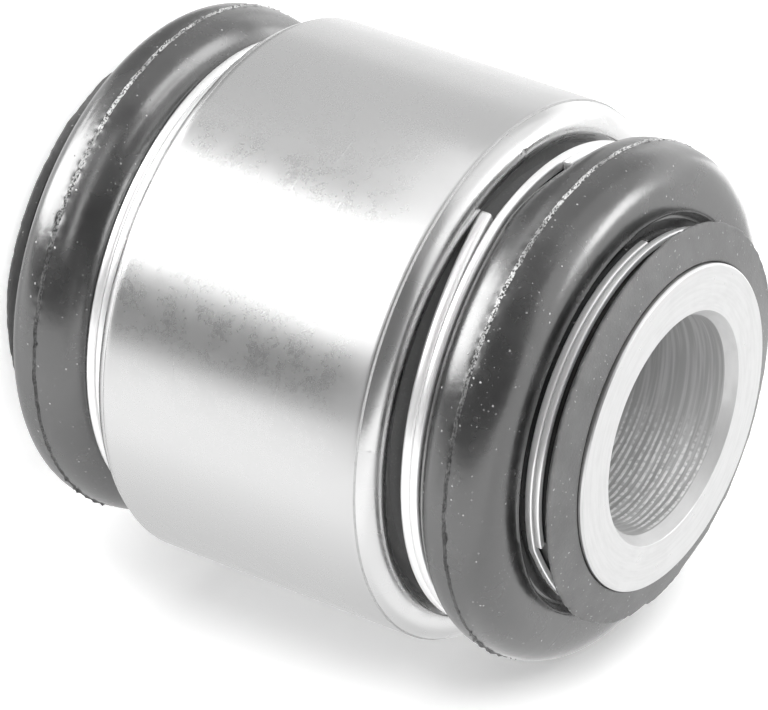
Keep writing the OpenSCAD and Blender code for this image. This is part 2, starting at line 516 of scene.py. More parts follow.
@dataclass(frozen=True)
class BoredSteel(Finish):
    """Steel bored with a coarse feed: ridges round the bore, broken by chatter, with a painted highlight on
    their crests along one side.
    """

    feed: float = 0.42  # from one ridge to the next
    bright: str = "#f4f4f4"  # painted highlight colour of their crests
    highlight_from: Point = (-1.5, 2.5)  # along X, where the painted highlight sets in
    highlight_to: Point = (6.2, 6.6)  # along X, where it fades out again

    def pattern(self, nodes: Nodes, place: Node) -> Look:
        """Add the ridges, the chatter across them and fine lines between, and paint a highlight on the
        crests along one side.

        Args:
            nodes: Nodes of the material.
            place: Position on the piece, in millimetres.

        Returns:
            What it does to the plain finish.
        """
        x, _, z = nodes.add("SeparateXYZ", {0: place}).outputs
        waver = nodes.rings(place, 1.6, 1.5)
        fine = nodes.rings(place, 0.22, 1.2)
        chatter = nodes.rings(place, 0.4, 26.0)
        turns = nodes.chain("MULTIPLY", z, math.tau / self.feed)
        phase = nodes.chain("ADD", turns, nodes.chain("MULTIPLY", waver, 6.0))
        crest = nodes.add("MapRange", span(nodes.add("Math", {0: phase}, operation="SINE"), -0.3, 0.8))
        broken = nodes.add("MapRange", span(chatter, 0.4, 0.58, 0.45, 1.3))
        # painted highlight: the crests are coloured bright only between these limits along X, where the
        # light falls in the bore
        starts = nodes.add("MapRange", span(x, *self.highlight_from))
        ends = nodes.add("MapRange", span(x, *self.highlight_to, 1.0, 0.1))
        bright = nodes.chain("MULTIPLY", crest, broken, starts, ends)
        lines = nodes.add("MapRange", span(fine, 0.35, 0.65, -0.1, 0.3))
        lit = nodes.add("Math", {0: bright, 1: lines}, operation="ADD", use_clamp=True)
        return Look([(bright, 0.016), (fine, 0.008)], [(lit, self.bright)])


@dataclass(frozen=True)
class ShadedHollowSteel(Finish):
    """Turned steel, dull and painted dark grey as the shade in a groove or recess, with dust on it."""

    dust: str = "#9a9a9a"

    def pattern(self, nodes: Nodes, place: Node) -> Look:
        """Add a crystalline grain and pale dust.

        Args:
            nodes: Nodes of the material.
            place: Position on the piece, in millimetres.

        Returns:
            What it does to the plain finish.
        """
        grain = nodes.add("TexNoise", lumps(place, 0.18))
        return Look([(grain, 0.01)], [(nodes.add("MapRange", span(grain, 0.56, 0.7)), self.dust)])


@dataclass(frozen=True)
class DrawnWire(Finish):
    """Spring steel wire, drawn flat and left bright, with faint die lines along it."""

    def pattern(self, nodes: Nodes, place: Node) -> Look:
        """Add die lines that run along the wire.

        Args:
            nodes: Nodes of the material.
            place: Position on the piece, in millimetres.

        Returns:
            What it does to the plain finish.
        """
        lines, grain = nodes.rings(place, 0.12, 2.0), nodes.add("TexNoise", lumps(place, 0.25))
        return Look([(lines, 0.006), (grain, 0.004)])


@dataclass(frozen=True)
class BootRubber(Finish):
    """Chloroprene rubber, pressed in a polished mould: black, half gloss, with pale dust on it."""

    skin: float = 0.3  # size of the mould's texture in millimetres
    dust: float = 0.48  # between specks of dust
    grit: float = 0.26  # between the finer, fainter grains
    flash: float = 15.35  # height of the flash, where more crumbs lie
    film_colour: str = "#2c2c2c"
    grit_colour: str = "#909090"
    dust_colour: str = "#9c9c9c"

    def dots(self, nodes: Nodes, place: Node, spacing: float) -> tuple[Node, Socket]:
        """Scatter round dots.

        Args:
            nodes: Nodes of the material.
            place: Position in millimetres.
            spacing: Mean distance between the dots.

        Returns:
            Node that is 1 on a dot, and a socket with a random value for each dot.
        """
        cells = nodes.add("TexVoronoi", {"Vector": place, "Scale": 1 / spacing})
        near = nodes.add("MapRange", span(cells.outputs["Distance"], 0.06, 0.18, 1.0, 0.0))
        return near, nodes.add("SeparateColor", {0: cells.outputs["Color"]}).outputs[0]

    def pattern(self, nodes: Nodes, place: Node) -> Look:
        """Add the mould's skin, a greasy bloom and specks of dust.

        Args:
            nodes: Nodes of the material.
            place: Position on the piece, in millimetres.

        Returns:
            What it does to the plain finish.
        """
        skin = nodes.add("TexNoise", lumps(place, self.skin, 3.0))
        bloom = nodes.add("TexNoise", lumps(place, 2.5, 3.0))
        uneven = nodes.add("TexNoise", lumps(place, 1.0))
        film = nodes.add("MapRange", span(bloom, 0.35, 0.7, 0.0, 0.35))
        level = nodes.add("SeparateXYZ", {0: place}).outputs["Z"]
        height = nodes.add("Math", {0: level}, operation="ABSOLUTE")
        away = nodes.add("Math", {0: nodes.chain("SUBTRACT", height, self.flash)}, operation="ABSOLUTE")
        crumbs = nodes.add("MapRange", span(away, 0.2, 0.9, 0.4, 0.0))
        speck, chosen = self.dots(nodes, place, self.dust)
        some = nodes.add("MapRange", span(nodes.chain("ADD", chosen, crumbs), 0.72, 1.0))
        dust = nodes.chain("MULTIPLY", speck, some)
        grain, picked = self.dots(nodes, place, self.grit)
        gritty = nodes.add("MapRange", span(bloom, 0.4, 0.62))
        grit = nodes.chain("MULTIPLY", grain, gritty, nodes.add("MapRange", span(picked, 0.3, 0.9)))
        return Look(
            [(skin, 0.004), (bloom, 0.014), (uneven, 0.009), (dust, 0.02)],
            [(film, self.film_colour), (grit, self.grit_colour), (dust, self.dust_colour)],
            nodes.add("MapRange", span(bloom, 0.3, 0.7, self.roughness - 0.04, self.roughness + 0.06)),
        )


@dataclass(frozen=True)
class CutRubber(Finish):
    """The same rubber where it is trimmed and rubbed: matte and greyer, with no gloss."""

    rubbed: str = "#545454"
    dust: str = "#b0b0b0"

    def pattern(self, nodes: Nodes, place: Node) -> Look:
        """Add a rubbed, cloudy grey, a fine tooth and specks.

        Args:
            nodes: Nodes of the material.
            place: Position on the piece, in millimetres.

        Returns:
            What it does to the plain finish.
        """
        tooth = nodes.add("TexNoise", lumps(place, 0.16))
        cloud = nodes.add("MapRange", span(nodes.add("TexNoise", lumps(place, 1.4, 3.0)), 0.3, 0.7))
        fine = nodes.add("TexNoise", lumps(place, 0.22, 1.0))
        specks = nodes.add("MapRange", span(fine, 0.7, 0.78, 0.0, 0.6))
        return Look([(tooth, 0.02), (specks, 0.03)], [(cloud, self.rubbed), (specks, self.dust)])


@dataclass(frozen=True)
class TornRubber(Finish):
    """The thin flash where the mould's halves met: torn off, with its sparkle painted on as bits of pale
    rubber.
    """

    # colour of the painted sparkle highlights
    pale: str = "#bebebe"

    def pattern(self, nodes: Nodes, place: Node) -> Look:
        """Add bits of pale rubber as painted sparkle highlights, many towards -X and few towards +X.

        Args:
            nodes: Nodes of the material.
            place: Position on the piece, in millimetres.

        Returns:
            What it does to the plain finish.
        """
        bits = nodes.add("TexNoise", lumps(place, 0.14, 1.0))
        patches = nodes.add("TexNoise", lumps(place, 4.0, 1.0))
        run = nodes.add("MapRange", span(patches, 0.36, 0.5, 0.45, 1.0))
        # painted highlight: more sparkle towards -X, where the light catches the flash
        upper = nodes.add("MapRange", span(nodes.add("SeparateXYZ", {0: place}), -4.0, 4.0, 1.0, 0.12))
        torn = nodes.chain("MULTIPLY", nodes.add("MapRange", span(bits, 0.4, 0.54)), run, upper)
        return Look([(bits, 0.04)], [(torn, self.pale)])


@dataclass(frozen=True)
class RacePlastic(Finish):
    """Acetal resin, injection moulded: milky and smooth with a soft sheen."""

    def pattern(self, nodes: Nodes, place: Node) -> Look:
        """Add a faint moulded unevenness.

        Args:
            nodes: Nodes of the material.
            place: Position on the piece, in millimetres.

        Returns:
            What it does to the plain finish.
        """
        waves = nodes.add("TexNoise", lumps(place, 1.5))
        rough = nodes.add("MapRange", span(waves, 0.3, 0.7, self.roughness - 0.05, self.roughness + 0.08))
        return Look([(waves, 0.01)], rough=rough)


GROUND_LAND = GroundSteel("ground_bearing_steel", "#c6c6c6", 1.0, 0.28)
# The grooves at the land's edges are painted darker as their shade.
LAND_GROOVE = ShadedHollowSteel("groove_steel_painted_shade", "#a8a8a8", 0.4, 0.5)
# The closing ring's steel is painted dark grey as the shade in the recess.
CLOSING_RING = ShadedHollowSteel("ring_steel_painted_shade", "#8e8e8e", 0.7, 0.4)
RIM = TurnedSteel("turned_rim_steel", "#d2d2d2", 1.0, 0.26, depth=0.008)
# The end face's floor colour is painted shade in the floors of its tool marks.
END_FACE = TurnedSteel(
    "faced_sleeve_steel", "#d0d0d0", 1.0, 0.34, feed=0.2, depth=0.002, streaks=4.0, floor="#cbcbcb"
)
BORE = BoredSteel("bored_sleeve_steel", "#b0b0b0", 0.55, 0.38)
BORE_CHAMFER = TurnedSteel("chamfered_sleeve_steel", "#c0c0c0", 0.8, 0.5, depth=0.002)
WIRE = DrawnWire("drawn_spring_wire", "#f0f0f0", 0.75, 0.3)
BOOT = BootRubber("pressed_boot_rubber", "#181818", 0.0, 0.24, 0.77, 1.8)
BOOT_FLANGE = CutRubber("trimmed_boot_rubber", "#484848", 0.0, 0.5, 0.5, 1.6)
BOOT_FLASH = TornRubber("torn_flash_rubber", "#242424", 0.0, 0.4)
RACE = RacePlastic("moulded_acetal", "#dcd8cc", 0.0, 0.4)


def paint(piece: Object, finishes: Sequence[Finish], choose: Callable[[Vector], int] | None = None) -> None:
    """Give a piece its finishes.

    Args:
        piece: Object to paint.
        finishes: Its finishes, in slot order.
        choose: Picks a slot from the centre of a face in millimetres.
    """
    piece.data.materials.clear()
    for finish in finishes:
        piece.data.materials.append(finish.material())
    if choose is not None:
        for polygon in piece.data.polygons:
            polygon.material_index = choose(polygon.center / MM)


def seat(piece: Object, body: Body, node: str, slot: Slot) -> None:
    """Let a piece stand for a node on its body.

    Args:
        piece: The piece.
        body: Body that it rides on.
        node: Node that it replaces.
        slot: Material slot of the node that it replaces; not used.
    """
    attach(piece, body.value)
    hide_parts(node)
    log.info("%s: %d faces", piece.name, len(piece.data.polygons))


# Sub-assemblies


@dataclass
class Shell:
    """Steel housing with its rear collar, and the closing ring with the front collar."""

    land_radius: float = 17.5
    land_half: float = 9.307  # half the length of the ground land
    rim_radius: float = 1.6
    rim_step: float = 0.1  # from the land down to the rim
    rim_top: float = 10.35
    lip_outer: float = 15.9  # outer radius of the flat on the lip
    lip_inner: float = 15.6
    recess_outer: float = 14.75
    recess_floor: float = 9.5
    collar_radius: float = 13.9
    collar_top: float = 12.85
    collar_chamfer: float = 0.25
    groove_radius: float = 13.4
    groove_top: float = 12.3
    opening_radius: float = 12.0
    race_radius: float = 15.25  # of the race's room in the housing
    race_half: float = 8.3
    fit: float = 0.05  # between the closing ring and the housing
    segments: int = 960  # steps round the axis
    marks: tuple[tuple[float, float, float, float], ...] = (
        (219, 10.3, 0.13, 0.05),
        (295.5, 9.9, 0.12, 0.03),
    )  # azimuth, height, size and depth of the nick in the lip and of the pit in the rim

    def rim(self) -> Outline:
        """Outline of the front rim.

        Returns:
            Its points, from the groove at the land's edge to the recess floor.
        """
        start = math.degrees(math.acos((self.rim_radius - self.rim_step) / self.rim_radius))
        brink = (self.land_radius, self.land_half)
        return [
            *beside(brink, (0, -0.17), (-0.02, -0.1), (-0.09, -0.03), (-0.1, 0.02)),
            *arc((self.lip_outer, self.rim_top - self.rim_radius), self.rim_radius, start, 88, 22),
            *beside((self.lip_inner, self.rim_top), (0.06, 0), (0, -0.02), (-0.05, -0.07)),
            (self.recess_outer, self.recess_floor),
        ]

    def collar(self) -> Outline:
        """Outline of the collar.

        Returns:
            Its points, from its foot over the groove to the opening.
        """
        outer, chamfer = self.collar_radius, self.collar_chamfer
        return [
            (outer, self.recess_floor),
            (outer, self.rim_top),
            (self.groove_radius, self.rim_top),
            (self.groove_radius, self.groove_top),
            (outer, self.groove_top),
            *beside((outer, self.collar_top), (0, -chamfer), (-chamfer, 0)),
            *beside((self.opening_radius, self.collar_top), (chamfer, 0), (0, -chamfer)),
        ]

    def handle(
        self, azimuth: np.ndarray, radius: np.ndarray, height: np.ndarray
    ) -> tuple[np.ndarray, np.ndarray]:
        """Press the marks of handling into the rim.

        Args:
            azimuth: Azimuths in degrees.
            radius: Radii of the points.
            height: Their heights.

        Returns:
            The new radii and heights.
        """
        depth = np.zeros_like(radius)
        for at, level, size, pressed in self.marks:
            across = np.radians(angle_from(azimuth, at)) * radius
            spread = (across**2 + (height - level) ** 2) / size**2
            depth += pressed * np.exp(-spread) * (radius > self.recess_outer)
        return radius - depth * 0.7, height - depth * 0.7

    def choose(self, centre: Vector) -> int:
        """Pick the ground land, the turned rims or the grooves at the land's edges, whose steel is painted
        dark as their shade.

        Args:
            centre: Centre of a face in millimetres.

        Returns:
            Its slot.
        """
        up, out = abs(centre.z), math.hypot(centre.x, centre.y)
        # slot 2: the grooves at the land's edges, painted darker as their shade
        if self.land_half - 0.12 < up < self.land_half + 0.03 and out > self.land_radius - 0.2:
            return 2
        return int(up > self.land_half)

    def build(self) -> None:
        """Build both steel pieces and dress them."""
        ends = self.land_half - 0.4
        housing = [(self.land_radius, z) for z in np.linspace(-ends, ends, 24)]
        housing += self.rim()
        housing += [(self.race_radius, self.recess_floor), (self.race_radius, -self.race_half)]
        housing += [(self.opening_radius, -self.race_half)]
        housing += [(r, -z) for r, z in reversed(self.rim() + self.collar())]
        piece = lathe("housing_shell", housing, self.segments, self.handle)
        paint(piece, [GROUND_LAND, RIM, LAND_GROOVE], self.choose)
        seat(piece, Body.HOUSING, "housing", Slot.GROUND_STEEL)
        outer, floor = self.race_radius - self.fit, self.recess_floor - self.fit
        foot = [(self.opening_radius, self.race_half), (outer, self.race_half), (outer, floor)]
        foot += [(self.collar_radius, floor)]
        piece = lathe("closing_ring_turned", foot + self.collar(), self.segments // 2)
        # painted shade: the closing ring's dark steel stands for the shade in the recess
        paint(piece, [CLOSING_RING])
        seat(piece, Body.HOUSING, "closing_ring", Slot.TURNED_STEEL)


@dataclass
class BallSleeve:
    """Bored sleeve with the ball, both necks and both end collars, turned from one piece."""

    length: float = 42.0
    ball_radius: float = 13.5
    bore_radius: float = 7.05
    bore_chamfer: Point = (0.5, 0.7)  # its width and depth
    end_radius: float = 10.5
    end_chamfer: float = 0.12
    collar_length: float = 1.05  # of an end collar
    seat_radius: float = 9.7  # under a boot's neck
    seat_length: float = 2.9
    neck_radius: float = 9.4
    longest: float = 1.2  # stretch of the outline without a further point
    segments: int = 360  # steps round the axis

    def choose(self, centre: Vector) -> int:
        """Pick the steel of the faces, of the bore's chamfers or of the bore."""
        out = math.hypot(centre.x, centre.y)
        return int(out < self.bore_radius + self.bore_chamfer[0]) + int(out < self.bore_radius + 0.02)

    def build(self) -> None:
        """Build the sleeve and dress it."""
        top = self.length / 2
        seat_top = top - self.collar_length
        seat_foot = seat_top - self.seat_length
        wide, deep = self.bore_chamfer
        half = [
            (self.neck_radius, seat_foot - 0.3, 0),
            (self.seat_radius, seat_foot, 0.05),
            (self.seat_radius, seat_top, 0.05),
            (self.end_radius, seat_top, 0.05),
            (self.end_radius, top - self.end_chamfer, 0.08),
            (self.end_radius - self.end_chamfer, top, 0.1),
            (self.bore_radius + wide, top, 0.06),
            (self.bore_radius, top - deep, 0.05),
        ]
        edge = math.degrees(math.acos(self.neck_radius / self.ball_radius))
        corners = [(r, z, 0.0) for r, z in arc((0, 0), self.ball_radius, -edge, edge, 48)]
        corners += half + [(r, -z, rounding) for r, z, rounding in reversed(half)]
        outline = refined(rounded(corners), self.longest)
        piece = lathe("ball_sleeve_turned", outline, self.segments)
        paint(piece, [END_FACE, BORE_CHAMFER, BORE], self.choose)
        seat(piece, Body.SLEEVE, "ball_sleeve", Slot.TURNED_STEEL)


@dataclass
class WireRing:
    """Spring ring wound from flat wire, with both ends cut off square."""

    end: End
    turn: float  # degrees by which the whole ring is turned
    foot: float  # height of the first lane's foot
    name: str
    body: Body
    radius: float  # its inner radius
    width: float  # of the wire along the axis
    thick: float
    sweep: float  # angle that the wire covers
    start: float  # azimuth of its first end
    step_at: float  # angle along the wire where it starts to step over
    step_over: float  # angle in which it does two thirds of that step
    rounding: float = 0.3  # of the wire's edges, as a share of its thinner side
    drop: float = 0.0  # how far the first end hangs below its lane
    drop_over: float = 30.0  # angle in which the wire makes up two thirds of that
    spread: float = 0.0  # how much wider the wire is at its first end, where it was pinched
    lane_gap: float = 0.03
    end_round: float = 0.22  # length over which an end is worn round
    pitch: float = 0.8  # degrees from one section to the next

    def rise(self, along: np.ndarray) -> np.ndarray:
        """Height of the wire's foot.

        Args:
            along: Angles along the wire in degrees.

        Returns:
            The heights.
        """
        stepped = 1 - np.exp(-np.maximum(0, along - self.step_at) / self.step_over)
        hanging = self.drop * np.exp(-along / self.drop_over)
        return self.foot + (self.width + self.lane_gap) * stepped - hanging

    def top(self, azimuth: np.ndarray) -> np.ndarray:
        """Height of the ring's upper edge.

        Args:
            azimuth: Azimuths in degrees, before the turn.

        Returns:
            The heights.
        """
        along = (azimuth - self.start) % 360
        last = self.sweep - 360
        high = self.rise(np.minimum(along, last) + 360) + self.width
        low = self.rise(np.full_like(along, 360.0)) + self.width
        return high + (low - high) * smooth_step((along - last) / (360 - last))

    def section(self) -> np.ndarray:
        """Rounded section of the wire about its centre.

        Returns:
            Radial and axial offsets of its points.
        """
        corner = self.rounding * min(self.thick, self.width)
        out, up = self.thick / 2 - corner, self.width / 2 - corner
        points = []
        for side, level, first in ((1, -1, -90), (1, 1, 0), (-1, 1, 90), (-1, -1, 180)):
            points += arc((side * out, level * up), corner, first, first + 90, 4)
        return np.array(points)

    def build(self) -> None:
        """Build the wound wire and dress it."""
        across, level = self.section().T
        cap = math.degrees(self.end_round / self.radius)
        near = cap * (1 - np.cos(np.radians(np.linspace(0, 90, 6))))
        middle = np.arange(cap, self.sweep - cap, self.pitch)[1:]
        along = np.concatenate([near, middle, self.sweep - near[::-1]])
        inward = 1 - np.clip(np.minimum(along, self.sweep - along) / cap, 0, 1)
        shrink = (1 - 0.3 * (1 - np.sqrt(1 - inward**2)))[:, None]
        wider = (1 + self.spread * np.exp(-along / self.drop_over))[:, None]
        radial = self.radius + self.thick / 2 + across * shrink
        axial = self.rise(along)[:, None] + (self.width / 2 + level * shrink) * wider
        turn = np.radians(self.start + along + self.turn)[:, None]
        side = self.end.value
        points = np.stack([radial * np.cos(turn), radial * np.sin(turn), side * axial], -1).reshape(-1, 3)
        count, last = len(across), len(along) - 1
        faces = [tuple(range(count))[::-1], tuple(last * count + i for i in range(count))]
        for j in range(last):
            for i in range(count):
                k = (i + 1) % count
                faces.append((j * count + i, j * count + k, (j + 1) * count + k, (j + 1) * count + i))
        if side > 0:
            faces = [face[::-1] for face in faces]
        node = f"{self.name}_{self.end.word}"
        piece = make_mesh(f"{node}_wound", points, faces, crease=50)
        paint(piece, [WIRE])
        seat(piece, self.body, node, Slot.SPRING_WIRE)


@dataclass
class ClampRing(WireRing):
    """Ring of nearly two turns over a boot's bead."""

    name: str = "clamp_ring"
    body: Body = Body.HOUSING
    radius: float = 14.7
    width: float = 0.64
    thick: float = 0.8
    sweep: float = 696
    start: float = 237
    step_at: float = 360
    step_over: float = 45
    spread: float = 0.38


@dataclass
class NeckRing(WireRing):
    """Thinner ring of one and a third turns round a boot's neck."""

    foot: float = 17.93
    name: str = "neck_ring"
    body: Body = Body.NECKS
    radius: float = 11.7
    width: float = 0.5
    thick: float = 0.42
    sweep: float = 468
    start: float = 214
    step_at: float = 110
    step_over: float = 12
    rounding: float = 0.26


@dataclass
class Boot:
    """Moulded rubber boot: bead, hollow bulge with its flash, neck and end flange."""

    end: End
    ring: WireRing  # that clamps its bead
    turn: float = 0.0  # degrees by which its marks are turned
    bead_inner: float = 13.45
    bead_outer: float = 14.65  # seat under the clamp ring
    bead_below: float = 0.3  # how far the bead reaches below the clamp ring's foot
    bead_top: float = 12.25
    shoulder: float = 12.18  # height of the shoulder in front of the clamp ring
    mould: float = 15.14  # height of the mould's parting line
    bulge_top: float = 18.1
    bulge_inner: float = 13.02  # radius where the bulge's front starts
    bulge_outer: float = 16.6
    squareness: float = 2.5  # power of the superellipse, where 2 is an ellipse
    back_reach: float = 1.135  # how much farther its back half would reach than the front
    wall: float = 1.1
    mouth: float = 50.0  # angle at which the inside opens to the collar
    flash: float = 0.1  # mean height of the flash
    ragged: float = 0.2  # how much that height changes
    groove_floor: float = 17.35  # beside the neck ring
    neck: float = 11.65
    flange_root: float = 19.2  # height of the flange's root on the neck
    flange_radius: float = 12.85
    flange_rim: float = 20.1  # height of the flange's front at its rim
    flange_edge: float = 0.18  # width of its rounded edge
    flange_top: float = 20.72  # height of its front at the sleeve
    flange_thick: float = 0.2  # at the rim
    sleeve_end: float = 10.55  # radius of the sleeve's end collar
    sleeve_seat: float = 9.75
    collar_under: float = 19.9  # height of the end collar's underside
    bend_top: float = 17.8  # height where the hole leaves the sleeve's seat
    flare: float = 0.95  # how much the hole widens under that, so that the tilting sleeve clears it
    dents: tuple[tuple[float, float, float], ...] = (
        (267.5, 1.6, 0.16),
        (30.0, 2.5, 0.2),
        (82.0, 34.0, 0.26),
    )  # azimuth, size in degrees and depth of the dents in the flange's trim
    segments: int = 800  # steps round the axis

    def bulge(self, grow: float, front: bool, start: float, stop: float, steps: int) -> Outline:
        """Points of the bulge's superellipse.

        Args:
            grow: Offset from the outside, below 0 for the inside.
            front: Whether the half towards the end face is meant.
            start: First angle in degrees from the largest radius.
            stop: Last angle.
            steps: Stretches between the points.

        Returns:
            Points from start to stop.
        """
        across = self.bulge_outer - self.bulge_inner + grow
        reach = self.bulge_top - self.mould if front else self.back_reach * (self.mould - self.shoulder)
        side, power = 1 if front else -1, 2 / self.squareness
        points = []
        for angle in np.radians(np.linspace(start, stop, steps + 1)):
            out, up = (max(0.0, share) ** power for share in (math.cos(angle), math.sin(angle)))
            points.append((self.bulge_inner + across * out, self.mould + side * (reach + grow) * up))
        return points

    def outline(self) -> Outline:
        """Section of the boot.

        Returns:
            Its points, anticlockwise from the bead's foot.
        """
        foot = math.degrees(math.asin((1 / self.back_reach) ** (self.squareness / 2)))
        bead_foot = self.ring.foot - self.bead_below
        middle = (self.bulge_inner + self.neck) / 2
        parting = (self.bulge_outer, self.mould)
        thick, rim = self.flange_thick, (self.flange_radius, self.flange_rim)
        brink = self.flange_radius - self.flange_edge
        fall = (self.flange_top - self.flange_rim) / (brink - self.sleeve_end)
        reach = np.linspace(brink, self.sleeve_end + 0.08, 9)[1:]
        return [
            *beside((self.bead_inner, self.bead_top), (0.5, 0), (0, 0)),
            (self.bead_inner, bead_foot),
            *beside((self.bead_outer, bead_foot), (-0.15, 0), (-0.04, 0.04), (0, 0.15)),
            *beside((self.bead_outer, self.shoulder), (0, -0.1), (0.05, 0)),
            *self.bulge(0, False, foot, 1.2, 24),
            *beside(parting, (0, -0.07), (0.3 * self.flash, -0.035), (self.flash, 0)),
            *beside(parting, (0.3 * self.flash, 0.035), (0, 0.07)),
            *self.bulge(0, True, 1.2, 90, 32),
            *beside((self.bulge_inner, self.bulge_top), (-0.16, -0.05), (-0.27, -0.2)),
            (self.bulge_inner - 0.33, self.groove_floor + 0.25),
            *beside((middle, self.groove_floor), (0.16, 0.04), (0, 0.1), (-0.2, 0)),
            *beside((self.neck, self.groove_floor), (0.05, 0), (0, 0.1)),
            *beside((self.neck, self.flange_root), (0, -0.12), (0.05, 0)),
            *beside(rim, (-0.5, -thick - 0.32), (-0.03, -thick), (0, -0.6 * thick), (-0.01, -0.35 * thick)),
            *beside(rim, (-0.07, -0.1 * thick), (-self.flange_edge, 0)),
            *((r, self.flange_rim + (brink - r) * fall) for r in reach),
            (self.sleeve_end, self.flange_top - 0.06),
            (self.sleeve_end, self.collar_under),
            (self.sleeve_seat, self.collar_under),
            (self.sleeve_seat, self.bend_top),
            (self.sleeve_seat + self.flare, self.bulge_top - self.wall),
            *self.bulge(-self.wall, True, 90, 0, 10),
            *self.bulge(-self.wall, False, 0, self.mouth, 7)[1:],
        ]

    def shape(
        self, azimuth: np.ndarray, radius: np.ndarray, height: np.ndarray
    ) -> tuple[np.ndarray, np.ndarray]:
        """Make the flash ragged, trim the flange unevenly and let the shoulder follow the clamp ring.

        Args:
            azimuth: Azimuths in degrees.
            radius: Radii of the points.
            height: Their heights.

        Returns:
            The new radii and heights.
        """
        at = azimuth - self.turn
        ragged = ripple(at, 11, 400, 2.2) * (0.35 + 0.9 * ripple(at, 12, 26))
        on_ridge = np.clip((radius - self.bulge_outer) / self.flash, 0, 1) * (height > self.mould - 0.2)
        radius = radius + on_ridge * (ragged * self.ragged - 0.04)
        near_ridge = np.exp(-(((height - self.mould) / 0.16) ** 2)) * (radius > self.bulge_outer - 0.3)
        height = height + near_ridge * (ripple(at, 13, 190) - 0.5) * 0.16
        radius = radius + near_ridge * (1 - on_ridge) * (ripple(at, 14, 420) - 0.5) * 0.07
        trim = (ripple(at, 15, 230) - 0.5) * 0.09 + (ripple(at, 16, 34) - 0.5) * 0.1
        for centre, size, depth in self.dents:
            trim = trim - depth * np.exp(-((angle_from(at, centre) / size) ** 2))
        on_rim = smooth_step((radius - self.flange_radius + 0.6) / 0.6) * (height > self.flange_root)
        radius = radius + on_rim * trim
        height = height + on_rim * (ripple(at, 17, 60) - 0.5) * 0.08
        low = self.mould - 0.6
        on_shoulder = smooth_step((low - height) / (low - self.shoulder))
        on_shoulder = on_shoulder * (radius > self.bead_outer + 0.01)
        return radius, height + on_shoulder * (self.ring.top(at) + 0.03 - self.shoulder)

    def choose(self, centre: Vector) -> int:
        """Pick the pressed rubber, the trimmed rubber on the flange or the torn rubber on the flash.

        Args:
            centre: Centre of a face in millimetres.

        Returns:
            Its slot.
        """
        out, up = math.hypot(centre.x, centre.y), abs(centre.z)
        if abs(up - self.mould) < 1.5 * self.flash and out > self.bulge_outer - 0.15:
            return 2
        return int(up > self.flange_root + 0.3 and out > self.sleeve_end - 0.1)

    def build(self) -> None:
        """Build the boot and dress it."""
        node, side = f"boot_{self.end.word}", self.end.value
        rear = self.end is End.REAR
        piece = lathe(f"{node}_moulded", self.outline(), self.segments, self.shape, mirror=rear)
        paint(piece, [BOOT, BOOT_FLANGE, BOOT_FLASH], self.choose)
        start, end = (0, 0, side * self.mould * MM), (0, 0, side * self.bend_top * MM)
        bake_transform(piece)
        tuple(start)
        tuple(end)
        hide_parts(node)
        log.info("%s: %d faces", piece.name, len(piece.data.polygons))


@dataclass
class Bushing:
    """The whole object."""

    rear_turn: float = 150.0  # degrees by which the rear rings and boot are turned
    clamp_foot: Point = (11.32, 10.74)  # of the front and the rear clamp ring
    clamp_drop: Point = (1.15, 0.2)  # of their first ends

    def build(self) -> None:
        """Build every sub-assembly in order."""
        Shell().build()
        BallSleeve().build()
        turns = (0.0, self.rear_turn)
        for end, turn, foot, drop in zip(End, turns, self.clamp_foot, self.clamp_drop):
            clamp = ClampRing(end, turn, foot, drop=drop)
            clamp.build()
            Boot(end, clamp, turn).build()
            NeckRing(end, turn).build()
        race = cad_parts["bearing_race"]
        paint(race, [RACE])


# Studio


@dataclass(frozen=True)
class Card:
    """A panel of the studio that only reflections see: part of a sphere round the object."""

    name: str
    azimuths: Point  # first and last, in degrees from +X towards +Y
    heights: Point  # lowest and highest angle above the horizon
    level: float  # its brightness, where 1 is white
    distance: float = 600.0  # radius of the sphere in millimetres
    middle: float = 0.0  # height of the sphere's middle

    def points(self, azimuth: np.ndarray, height: np.ndarray) -> np.ndarray:
        """Places on the panel.

        Args:
            azimuth: Their azimuths in degrees.
            height: Their angles above the horizon.

        Returns:
            The places, in millimetres.
        """
        flat, turn = np.cos(np.radians(height)), np.radians(azimuth)
        out = np.stack([flat * np.cos(turn), flat * np.sin(turn), np.sin(np.radians(height))], -1)
        return out * self.distance + np.array([0, 0, self.middle])

    def shader(self, nodes: Nodes) -> Node:
        """A plain light of the panel's level."""
        return nodes.add("Emission", {"Color": WHITE, "Strength": self.level})

    def build(self) -> None:
        """Make the panel, seen by glossy rays alone."""
        across, up = 24, 12
        azimuths, heights = np.linspace(*self.azimuths, across + 1), np.linspace(*self.heights, up + 1)
        azimuth, height = np.meshgrid(azimuths, heights)
        row = across + 1
        corners = [j * row + i for j in range(up) for i in range(across)]
        faces = [(corner, corner + 1, corner + row + 1, corner + row) for corner in corners]
        card = make_mesh(self.name, self.points(azimuth, height).reshape(-1, 3), faces)
        card.data.materials.append(make_material(self.name, self.shader))
        for ray in ("camera", "diffuse", "shadow", "transmission", "volume_scatter"):
            setattr(card, f"visible_{ray}", False)


